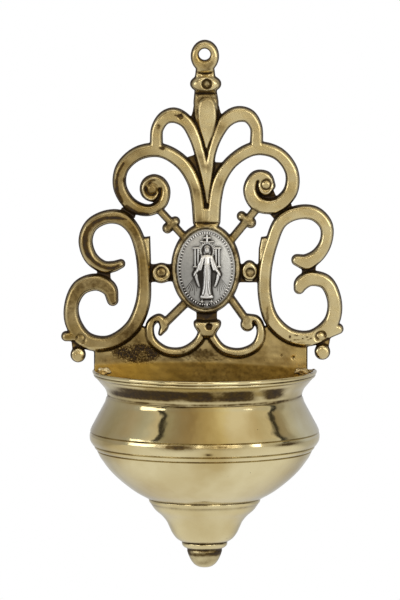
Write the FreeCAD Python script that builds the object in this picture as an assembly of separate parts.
"""Wall-hung holy water stoup in cast brass.

An openwork back plate hangs from one nail and carries an oval medal.  A half-round
bowl stands on the plate's flat apron, soft-soldered at the inside corner and pulled up
by screws from behind.  A turned drop closes the underside on a threaded stud.

Frame: millimetres, origin in the hanging hole on the wall plane, +X to the viewer's
right, -Y out of the wall, +Z up.
"""
import FreeCAD, Part
import math
import os

V = FreeCAD.Vector

# ---------------------------------------------------------------- driving dimensions
# hanging eye and collar knob
hole_radius = 2.2
eye_radius = 5.5
eye_thickness = 4.4
knob_centre_z = -11.4
knob_half_width = 6.1
knob_half_height = 3.6
knob_depth = 5.4
knob_bevel = 1.6
# casting heights above the wall plane
apron_thickness = 3.0
web_thickness = 2.2
scroll_shoulder = 3.1
scroll_crown = 4.6
scroll_bevel = 1.25
fine_crown = 4.2
fine_bevel = 0.9
# medal and its oval seat
medal_centre = (0.5, -81.0)
medal_half_width = 11.2
medal_half_height = 15.2
medal_edge = 1.0
medal_dome = 0.8
medal_clearance = 0.1
medal_solder = 0.2
seat_floor = 3.2
seat_border = 1.9
seat_rim_bevel = 0.6
solder_inset = 0.6
# button under the seat and the web behind it
button_centre = (0.9, -102.4)
button_half_width = 5.4
button_half_height = 2.7
button_neck_width = 7.8
# bowl: radii, and drops below the rim
rim_z = -119.3
rim_radius = 42.4
lip_height = 1.3
lip_wall = 1.4
bead_radius = 41.9
bead_drop = 2.5
neck_radius = 38.0
neck_drop = 6.1
waist_radius = 36.8
waist_drop = 9.9
shoulder_radius = 42.8
shoulder_drop = 21.6
belly_radius = 43.5
belly_drop = 25.3
ring_radius = 41.4
ring_drop = 28.6
foot_ring_radius = 40.4
foot_ring_drop = 30.4
bowl_under_radius = 33.2
bowl_under_drop = 40.6
bowl_foot_radius = 21.4
bowl_height = 48.8
bowl_wall = 2.2
bowl_floor = 4.0
# apron edges
apron_left = 41.8
apron_right = 38.9
apron_inset = 0.4
# fixings
seam_leg = 1.3
screw_radius = 1.2
screw_head_radius = 2.3
screw_head_height = 1.1
screw_reach = 4.0
screw_clearance = 0.1
hole_spare = 0.3         # how far a blind hole runs past its screw or stud
lug_radius = 3.2
lug_depth = 5.5
lug_drop = 17.0
lug_inset = 2.2
stud_radius = 1.5
stud_axis_y = -6.2
stud_into_bowl = 2.4
stud_into_tip = 5.0
stud_clearance = 0.1
dimple_depth = 0.55
large_stud_radius = 2.5

samples_per_row = 2      # edge points worked out between two rows of a scroll
arc_bands = 2            # plain bands that a turned arc is cut in
cut_spare = 1.0          # how far a cutter runs past what it cuts

# Turned drop: radius and drop below the joint. A pair of points is an arc's middle and end.
CONE_PROFILE = [[(21.1, 0.0)], [(20.6, 1.7)], [(18.7, 4.1), (15.6, 6.8)],
                [(13.8, 9.2), (12.9, 11.8)], [(11.6, 14.4), (8.9, 16.5)]]
TIP_PROFILE = [[(8.3, 0.0)], [(8.6, 0.9), (7.7, 2.2)], [(6.5, 3.4)], [(6.0, 5.7)],
               [(4.3, 8.8), (0.0, 10.1)]]

# ------------------------------------------------------------- scrolls of the casting
# Each row is x, z and half width; a curve runs through the rows.
E_LEFT = [
    (-31.6, -79.3, 1.7), (-34.6, -80.4, 2.1), (-38.3, -80.4, 2.3), (-42.9, -77.0, 2.6),
    (-44.9, -70.4, 2.7), (-42.7, -64.7, 2.6), (-36.8, -61.6, 2.6), (-31.2, -62.0, 2.8),
    (-27.0, -66.0, 2.5), (-24.2, -73.0, 2.5), (-22.8, -85.2, 2.6), (-23.6, -95.4, 2.9),
    (-27.8, -104.0, 2.9), (-36.5, -109.4, 2.8), (-44.8, -108.3, 3.2), (-49.7, -101.5, 3.1),
    (-50.1, -94.3, 2.8), (-46.8, -88.2, 3.1), (-40.6, -86.3, 3.2), (-35.9, -88.8, 2.9),
    (-34.7, -93.1, 2.2),
]
E_RIGHT = [
    (34.9, -77.9, 2.2), (38.3, -78.6, 2.9), (42.8, -75.9, 2.6), (45.8, -70.8, 2.4),
    (45.8, -64.7, 2.6), (41.5, -60.3, 2.8), (34.9, -59.9, 2.7), (28.8, -63.2, 2.6),
    (25.2, -71.5, 2.5), (22.8, -82.1, 2.6), (22.9, -92.4, 2.7), (25.4, -100.5, 2.9),
    (32.2, -106.6, 2.9), (40.5, -107.4, 3.0), (47.7, -101.7, 3.0), (49.1, -93.9, 2.8),
    (45.8, -86.3, 2.8), (39.8, -84.9, 2.9), (36.6, -86.7, 2.8), (35.7, -88.7, 2.1),
]
VOLUTE_LEFT = [
    (-1.9, -63.2, 2.6), (-2.5, -55.2, 2.6), (-4.0, -48.4, 2.6), (-8.5, -41.0, 2.8),
    (-16.5, -36.4, 2.7), (-25.1, -37.5, 2.7), (-31.1, -43.1, 2.6), (-31.9, -50.3, 2.6),
    (-27.6, -57.0, 2.6), (-21.0, -59.0, 2.2), (-15.9, -56.3, 2.1), (-14.4, -51.4, 1.9),
    (-17.0, -47.2, 1.7),
]
VOLUTE_RIGHT = [
    (3.4, -63.2, 2.6), (3.9, -55.2, 2.6), (5.8, -47.2, 2.6), (10.7, -40.2, 2.5),
    (19.0, -35.7, 2.6), (27.7, -37.6, 2.5), (32.8, -44.4, 2.6), (32.2, -52.2, 2.8),
    (26.2, -57.3, 2.9), (19.7, -56.3, 3.0), (17.1, -51.0, 2.6), (19.4, -46.1, 2.1),
    (23.4, -46.0, 1.7), (25.2, -49.7, 1.6),
]
ARCH_LEFT = [
    (-18.2, -34.0, 2.5), (-17.8, -28.1, 2.4), (-15.1, -24.1, 2.6), (-11.4, -23.1, 2.9),
    (-7.0, -25.4, 2.6), (-3.6, -31.1, 2.5), (-1.4, -38.5, 2.2), (0.0, -45.7, 1.7),
    (0.9, -56.0, 0.5),
]
ARCH_RIGHT = [
    (19.6, -33.6, 2.5), (19.3, -27.3, 2.4), (16.6, -23.4, 2.7), (12.4, -22.7, 3.0),
    (8.1, -25.0, 2.8), (4.5, -30.9, 2.3), (2.6, -37.4, 1.8), (1.8, -44.2, 1.7),
    (1.1, -56.0, 0.5),
]
LEAF = [
    (0.6, -16.9, 4.2), (0.6, -21.4, 4.8), (0.7, -26.4, 3.8), (0.9, -32.8, 1.7),
    (1.0, -37.0, 0.4),
]
CURL_LEFT = [
    (-16.3, -105.5, 1.4), (-14.6, -102.2, 1.6), (-17.4, -99.8, 1.6), (-20.4, -102.2, 1.7),
    (-20.0, -107.9, 1.7), (-14.9, -112.2, 1.7), (-8.2, -112.5, 1.7), (-2.5, -108.7, 1.7),
    (0.2, -103.0, 1.9),
]
CURL_RIGHT = [
    (16.6, -100.0, 1.7), (19.6, -100.7, 1.7), (21.3, -104.9, 1.7), (19.4, -110.4, 1.8),
    (13.4, -113.1, 1.8), (6.9, -111.7, 1.7), (3.0, -107.2, 1.8), (1.5, -103.0, 1.9),
]
EAR_LEFT = [(-47.4, -106.6, 2.0), (-52.3, -106.8, 1.9)]
EAR_RIGHT = [(46.6, -105.3, 2.3), (50.5, -104.0, 2.0)]

# Spokes of the medal seat: outer end, half width, angle round the seat in degrees.
SPOKES = [(-16.6, -59.4, 1.5, 132), (18.8, -59.4, 1.6, 41),
          (-14.2, -101.1, 1.7, 233), (15.6, -100.5, 1.6, -43)]

# Round studs cast on the openwork: x, z, radius.
STUDS = [(-47.8, -113.8, 2.9), (44.5, -112.7, 3.0),
         (-11.1, -63.3, 1.9), (-14.0, -65.8, 2.0), (14.0, -61.3, 1.9), (17.4, -63.7, 2.1)]

# Flat-topped bosses: x, z, half width, half height.
BOSSES = [(-16.3, -82.8, 3.8, 3.8), (16.9, -82.0, 3.1, 4.0), (-19.5, -50.8, 5.2, 5.2),
          (22.6, -50.0, 3.5, 3.5), (15.8, -103.0, 2.8, 2.8),
          (*button_centre, button_half_width, button_half_height)]

# Dimples struck in the faces: x, z, radius.
DIMPLES = [(-16.3, -82.4, 1.7), (17.2, -82.3, 1.7), (-19.7, -50.7, 1.6), (23.0, -49.3, 1.6),
           (1.6, -102.5, 1.4), (-46.4, -107.4, 1.7), (43.6, -106.6, 1.7)]

# Recessed webs that tie the scrolls together.
WEBS = [
    [(-6.3, -38.9), (-2.9, -37.8), (-1.4, -43.4), (-2.9, -46.5), (-5.1, -42.7)],
    [(2.8, -40.8), (6.6, -41.0), (5.4, -43.4), (3.2, -46.5)],
    [(-2.0, -40.0), (3.6, -40.0), (4.7, -56.0), (4.7, -64.0), (-2.7, -64.0), (-2.7, -56.0)],
    [(-32.3, -56.7), (-25.5, -56.0), (-24.8, -63.9), (-32.3, -62.4)],
    [(21.7, -57.1), (35.2, -54.8), (30.7, -62.4), (24.7, -63.9)],
    [(-42.1, -80.4), (-34.6, -80.6), (-34.2, -86.7), (-42.1, -86.7)],
    [(35.6, -79.1), (43.9, -76.8), (42.8, -85.9), (35.6, -85.9)],
    [(-5.5, -25.2), (-4.0, -19.9), (5.4, -19.9), (7.3, -26.0), (2.8, -35.9), (-1.7, -35.9)],
    [(-22.5, -79.5), (-10.8, -79.5), (-10.8, -85.9), (-22.5, -86.3)],
    [(21.7, -79.5), (11.9, -79.5), (11.9, -86.3), (21.7, -86.3)],
    [(-50.4, -107.9), (-44.8, -108.3), (-45.9, -114.0), (-49.7, -114.0)],
    [(42.0, -106.4), (47.7, -106.4), (46.6, -112.5), (42.4, -112.5)],
    [(-2.9, -63.0), (4.9, -63.0), (4.9, -68.0), (-2.9, -68.0)],
    [(19.0, -46.5), (26.0, -46.5), (26.4, -54.5), (17.5, -54.5)],
]
SPUR_LEFT = [(-24.4, -69.5), (-20.5, -68.9), (-20.2, -78.3), (-20.6, -89.0), (-22.9, -89.0)]
SPUR_RIGHT = [(25.4, -68.7), (21.3, -69.2), (20.4, -73.8), (20.2, -81.4), (20.3, -89.0),
              (22.4, -89.0)]

# Upper edge of the apron, hidden under the scrolls, from left to right.
APRON_TOP = [(-32.7, -108.3), (-25.9, -101.9), (-20.6, -104.1), (-17.6, -111.4),
             (-10.8, -112.9), (-3.2, -109.8), (0.5, -106.4), (4.7, -110.2), (11.9, -112.9),
             (18.6, -111.4), (21.3, -104.9), (24.7, -101.1), (30.0, -105.7)]
apron_top_left_z = -109.8
apron_top_right_z = -107.6


# ------------------------------------------------------------------------ small tools
def at(x, z, y=0.0):
    return V(x, y, z)


def slab(points, thickness, y=0.0):
    """A flat plate on the given outline, from depth y out to y + thickness."""
    corners = [at(x, z, -y) for x, z in points]
    face = Part.Face(Part.makePolygon(corners + corners[:1]))
    return face.extrude(V(0, -thickness, 0))


def oval_wire(x, z, half_width, half_height, y):
    if abs(half_width - half_height) < 1e-6:
        curve = Part.Circle(at(x, z, -y), V(0, -1, 0), half_width)
    elif half_width > half_height:
        curve = Part.Ellipse(at(x + half_width, z, -y), at(x, z + half_height, -y), at(x, z, -y))
    else:
        curve = Part.Ellipse(at(x, z + half_height, -y), at(x + half_width, z, -y), at(x, z, -y))
    return Part.Wire(curve.toShape())


def oval_plate(x, z, half_width, half_height, y, thickness):
    face = Part.Face(oval_wire(x, z, half_width, half_height, y))
    return face.extrude(V(0, -thickness, 0))


def oval_frustum(x, z, half_width, half_height, inset, y0, y1):
    wires = [oval_wire(x, z, half_width, half_height, y0),
             oval_wire(x, z, half_width - inset, half_height - inset, y1)]
    return Part.makeLoft(wires, True, True)


def boss(x, z, half_width, half_height, crown):
    body = oval_plate(x, z, half_width, half_height, 0, scroll_shoulder)
    top = oval_frustum(x, z, half_width, half_height, fine_bevel, scroll_shoulder, crown)
    return body.fuse(top)


def stud(x, z, radius):
    """A round stud: a short post, and on the two large ones a bevelled head."""
    if radius < large_stud_radius:
        return from_wall(radius, 0, fine_crown, x, z)
    post_height = scroll_crown - 0.5 * radius
    post = Part.makeCylinder(radius, post_height, at(x, z), V(0, -1, 0))
    head = Part.makeCone(radius, 0.5 * radius, 0.5 * radius, at(x, z, -post_height), V(0, -1, 0))
    return post.fuse(head)


def dimple(x, z, radius):
    """A shallow round recess, open to the front."""
    return from_wall(radius, fine_crown - dimple_depth, knob_depth, x, z)


def scroll_wire(rows, inset, y):
    """Closed outline of a scroll, drawn in by inset, at depth y."""
    curve = Part.BSplineCurve()
    curve.interpolate([V(x, half, z) for x, z, half in rows])
    steps = samples_per_row * (len(rows) - 1)
    span = curve.LastParameter - curve.FirstParameter
    left, right, tips = [], [], []
    for i in range(steps + 1):
        point, slope = curve.getD1(curve.FirstParameter + span * i / steps)
        along = V(slope.x, 0, slope.z).normalize()
        across = V(-along.z, 0, along.x)
        half = max(point.y - inset, 0.3 * point.y)
        middle = V(point.x, -y, point.z)
        left.append(middle + across * half)
        right.append(middle - across * half)
        if i in (0, steps):
            tips.append(middle + along * (half if i else -half))
    sides = []
    for points in (left, right[::-1]):
        side = Part.BSplineCurve()
        side.interpolate(points)
        sides.append(side.toShape())
    end_cap = Part.Arc(left[-1], tips[1], right[-1]).toShape()
    start_cap = Part.Arc(right[0], tips[0], left[0]).toShape()
    return Part.Wire([sides[0], end_cap, sides[1], start_cap])


def scroll(rows, crown=scroll_crown, bevel=scroll_bevel):
    """A cast scroll: upright to the shoulder, then bevelled to a flat crown."""
    sections = [scroll_wire(rows, 0, 0), scroll_wire(rows, 0, scroll_shoulder),
                scroll_wire(rows, bevel, crown)]
    return Part.makeLoft(sections, True, True)


def fine_scroll(rows):
    """A thin scroll or spoke, with upright sides and a flat crown."""
    return Part.makeLoft([scroll_wire(rows, 0, 0), scroll_wire(rows, 0, fine_crown)], True, True)


# -------------------------------------------------------------------- turned profiles
def line(a, b):
    return Part.LineSegment(V(a[0], -apron_thickness, a[1]), V(b[0], -apron_thickness, b[1]))


def arc(*points):
    """An arc through three points, turned as a few plain bands."""
    curve = Part.Arc(*[V(r, -apron_thickness, z) for r, z in points])
    first, last = curve.FirstParameter, curve.LastParameter
    stops = [curve.value(first + (last - first) * i / arc_bands) for i in range(arc_bands)]
    return chain([(stop.x, stop.z) for stop in stops] + [points[-1]])


def turned_edges(profile, z0):
    """Edges of a turned profile that hangs down from height z0."""
    (start,), edges = profile[0], []
    for move in profile[1:]:
        points = [(radius, z0 - drop) for radius, drop in [start] + move]
        edges += chain(points) if len(move) == 1 else arc(*points)
        start = move[-1]
    return edges


def chain(points):
    return [line(a, b) for a, b in zip(points, points[1:])]


def closed_profile(edges):
    """The outside edges closed along the axis, as one face."""
    top, bottom = edges[0].StartPoint, edges[-1].EndPoint
    corners = [(0, bottom.z), (0, top.z), (top.x, top.z)]
    if bottom.x > 0:
        corners.insert(0, (bottom.x, bottom.z))
    closing = chain(corners)
    return Part.Face(Part.Wire([e.toShape() for e in edges + closing]))


def half_turned(edges):
    """Half a turned body that stands out from the front of the apron."""
    return closed_profile(edges).revolve(V(0, -apron_thickness, 0), V(0, 0, 1), -180)


def flat_back(edges, shrink=0.0):
    """The same silhouette as a slab from the apron's front back to the wall."""
    half = closed_profile(edges)
    half.translate(V(-shrink, 0, 0))
    half = half.extrude(V(0, apron_thickness, 0))
    return half.fuse(half.mirror(V(0, 0, 0), V(1, 0, 0))).removeSplitter()


def bowl_point(radius, drop):
    return (radius, rim_z - drop)


def bowl_outside():
    """Outer profile of the bowl, from the lip down to the foot."""
    return turned_edges([
        [(rim_radius, 0)], [(rim_radius, lip_height)], [(bead_radius, bead_drop)],
        [(neck_radius, neck_drop), (waist_radius, waist_drop)],
        [(shoulder_radius, shoulder_drop)], [(belly_radius, belly_drop)],
        [(ring_radius, ring_drop)], [(foot_ring_radius, foot_ring_drop)],
        [(bowl_under_radius, bowl_under_drop), (bowl_foot_radius, bowl_height)]], rim_z)


def bowl_inside(shrink=0.0):
    """Inner profile of the bowl, from the lip down to the floor."""
    wall = bowl_wall + shrink
    floor_drop = bowl_height - bowl_floor
    return [bowl_point(rim_radius - lip_wall - shrink, 0),
            bowl_point(waist_radius - wall, waist_drop),
            bowl_point(shoulder_radius - wall, shoulder_drop),
            bowl_point(belly_radius - wall, belly_drop),
            bowl_point(foot_ring_radius - wall, foot_ring_drop),
            bowl_point(bowl_under_radius - wall, bowl_under_drop),
            bowl_point(bowl_foot_radius - shrink, floor_drop - shrink)]


def lug_place():
    """Middle of the screw lug inside the bowl, on the viewer's right."""
    share = (lug_drop - waist_drop) / (shoulder_drop - waist_drop)
    radius = waist_radius + share * (shoulder_radius - waist_radius) - bowl_wall
    return radius - lug_inset, rim_z - lug_drop


def both_sides(make):
    x, z = lug_place()
    return [make(x, z), make(-x, z)]


def from_wall(radius, depth0, depth1, x, z):
    """A round bar square to the wall, between two depths."""
    return Part.makeCylinder(radius, depth1 - depth0, at(x, z, -depth0), V(0, -1, 0))


def upright(radius, z0, z1, y):
    return Part.makeCylinder(radius, z1 - z0, V(0, y, z0))


def drop_joints():
    """Heights of the joints above the cone, above the tip and of the lowest point."""
    cone_top = rim_z - bowl_height
    tip_top = cone_top - CONE_PROFILE[-1][-1][1]
    return cone_top, tip_top, tip_top - TIP_PROFILE[-1][-1][1]


# --------------------------------------------------------------------------- the plate
def hanging_eye():
    ring = boss(0, 0, eye_radius, eye_radius, eye_thickness)
    neck_rows = [(0.1, -0.6, eye_radius - 0.3), (0.2, -4.0, eye_radius - 0.9), (0.2, -7.6, 3.8)]
    return ring.fuse(scroll(neck_rows, eye_thickness, fine_bevel))


def collar_knob():
    """A flattened bead across the stem: upright to its shoulder, then bevelled."""
    x, z = 0.3, knob_centre_z
    body = oval_plate(x, z, knob_half_width, knob_half_height, 0, scroll_shoulder)
    top = oval_frustum(x, z, knob_half_width, knob_half_height, knob_bevel, scroll_shoulder,
                       knob_depth)
    return body.fuse(top)


def seat_size():
    grow = medal_clearance + seat_border
    return medal_half_width + grow, medal_half_height + grow


def medal_seat():
    x, z = medal_centre
    width, height = seat_size()
    base = oval_plate(x, z, width, height, 0, scroll_crown - seat_rim_bevel)
    return base.fuse(oval_frustum(x, z, width, height, seat_rim_bevel,
                                  scroll_crown - seat_rim_bevel, scroll_crown))


def spokes():
    x, z = medal_centre
    width, height = seat_size()
    made = []
    for end_x, end_z, half, angle in SPOKES:
        a = math.radians(angle)
        inner = (x + 0.95 * width * math.cos(a), z + 0.95 * height * math.sin(a), half)
        made.append(fine_scroll([(end_x, end_z, half), inner]))
    return made


def button_neck():
    """The web between the medal seat and the button under it."""
    x, z = button_centre
    top = medal_centre[1] - seat_size()[1] + seat_border
    half = 0.5 * button_neck_width
    return slab([(x - half, top), (x + half, top), (x + half, z), (x - half, z)], web_thickness)


def apron():
    left, right = -apron_left, apron_right
    foot = rim_z - lip_height
    outline = [(left, apron_top_left_z)] + APRON_TOP + [(right, apron_top_right_z), (right, foot),
                                                        (left, foot)]
    return slab(outline, apron_thickness)


def back_plate():
    pieces = [scroll(rows) for rows in (E_LEFT, E_RIGHT, VOLUTE_LEFT, VOLUTE_RIGHT, ARCH_LEFT,
                                        ARCH_RIGHT, LEAF, EAR_LEFT, EAR_RIGHT)]
    pieces += [fine_scroll(rows) for rows in (CURL_LEFT, CURL_RIGHT)]
    pieces += spokes()
    pieces += [boss(*row, fine_crown) for row in BOSSES]
    pieces += [stud(*row) for row in STUDS]
    pieces += [slab(outline, web_thickness) for outline in WEBS]
    pieces += [slab(outline, scroll_shoulder) for outline in (SPUR_LEFT, SPUR_RIGHT)]
    pieces += [hanging_eye(), collar_knob(), medal_seat(), button_neck(), apron()]
    pieces.append(flat_back(bowl_outside(), apron_inset))
    plate = pieces[0].multiFuse(pieces[1:])

    x, z = medal_centre
    cuts = [from_wall(hole_radius, -cut_spare, eye_thickness + cut_spare, 0, 0)]
    cuts.append(oval_plate(x, z, medal_half_width + medal_clearance,
                           medal_half_height + medal_clearance, seat_floor, scroll_crown))
    cuts += [dimple(*row) for row in DIMPLES]
    cuts += both_sides(lambda x, z: from_wall(screw_radius + screw_clearance, -cut_spare,
                                              apron_thickness + cut_spare, x, z))
    cuts += both_sides(lambda x, z: screw_head(x, z, screw_clearance))
    return plate.cut(cuts).removeSplitter()


# --------------------------------------------------------------------- the other pieces
def screw_head(x, z, grow=0.0):
    return Part.makeCone(screw_head_radius + grow, screw_radius + grow, screw_head_height,
                         at(x, z), V(0, -1, 0))


def bowl_cavity():
    return half_turned(chain(bowl_inside()))


def bowl():
    shell = half_turned(bowl_outside()).cut(bowl_cavity())
    depth = apron_thickness + lug_depth
    lugs = both_sides(lambda x, z: from_wall(lug_radius, apron_thickness, depth, x, z))
    bottom = rim_z - bowl_height
    holes = both_sides(lambda x, z: from_wall(
        screw_radius + screw_clearance, apron_thickness - cut_spare,
        apron_thickness + screw_reach + hole_spare, x, z))
    holes.append(upright(stud_radius + stud_clearance, bottom - cut_spare,
                         bottom + stud_into_bowl + hole_spare, stud_axis_y))
    return shell.fuse(lugs).cut(holes)


def seam_outline(shrink, y):
    right = bowl_inside(shrink)
    points = [at(r, z, -y) for r, z in right] + [at(-r, z, -y) for r, z in right[::-1]]
    return Part.makePolygon(points + points[:1])


def bowl_solder_seam(bowl_shape):
    """A fillet of solder in the corner between the apron and the inside of the bowl."""
    y0, y1 = apron_thickness, apron_thickness + seam_leg
    block = Part.Face(seam_outline(0, y0)).extrude(V(0, -seam_leg, 0))
    core = Part.makeLoft([seam_outline(seam_leg, y0), seam_outline(0.05, y1 + 0.01)], True, True)
    depth = apron_thickness + lug_depth
    clear = both_sides(lambda x, z: from_wall(lug_radius + seam_leg, apron_thickness, depth, x, z))
    return block.common(bowl_cavity()).cut([core, bowl_shape] + clear)


def bowl_screws():
    reach = apron_thickness + screw_reach
    return Part.makeCompound(both_sides(
        lambda x, z: screw_head(x, z).fuse(from_wall(screw_radius, 0, reach, x, z))))


def drop_piece(profile, top, hole_bottom, hole_top):
    """A turned piece of the drop: half round in front, flat to the wall, bored for the stud."""
    edges = turned_edges(profile, top)
    hole = upright(stud_radius + stud_clearance, hole_bottom, hole_top, stud_axis_y)
    return half_turned(edges).fuse(flat_back(edges)).cut(hole).removeSplitter()


def drop_cone():
    cone_top, tip_top, _ = drop_joints()
    return drop_piece(CONE_PROFILE, cone_top, tip_top - cut_spare, cone_top + cut_spare)


def drop_tip():
    tip_top = drop_joints()[1]
    return drop_piece(TIP_PROFILE, tip_top, tip_top - stud_into_tip - hole_spare,
                      tip_top + cut_spare)


def drop_stud():
    cone_top, tip_top, _ = drop_joints()
    return upright(stud_radius, tip_top - stud_into_tip, cone_top + stud_into_bowl, stud_axis_y)


def medal():
    x, z = medal_centre
    back = seat_floor + medal_solder
    front = back + medal_edge
    blank = oval_plate(x, z, medal_half_width, medal_half_height, back, medal_edge + medal_dome)
    radius = (medal_half_height ** 2 + medal_dome ** 2) / (2 * medal_dome)
    return blank.common(Part.makeSphere(radius, at(x, z, -(front + medal_dome - radius))))


def medal_solder_pad():
    x, z = medal_centre
    return oval_plate(x, z, medal_half_width - solder_inset, medal_half_height - solder_inset,
                      seat_floor, medal_solder)


def main():
    os.makedirs("parts", exist_ok=True)
    bowl_shape = bowl()
    nodes = {
        "back_plate": back_plate(),
        "bowl": bowl_shape,
        "bowl_solder_seam": bowl_solder_seam(bowl_shape),
        "bowl_screws": bowl_screws(),
        "drop_cone": drop_cone(),
        "drop_tip": drop_tip(),
        "drop_stud": drop_stud(),
        "medal": medal(),
        "medal_solder": medal_solder_pad(),
    }
    for name, shape in nodes.items():
        shape.exportStep(f"parts/{name}.step")
        print(name, len(shape.Solids), "solids", shape.isValid(), round(shape.Volume, 1), "mm3")


main()
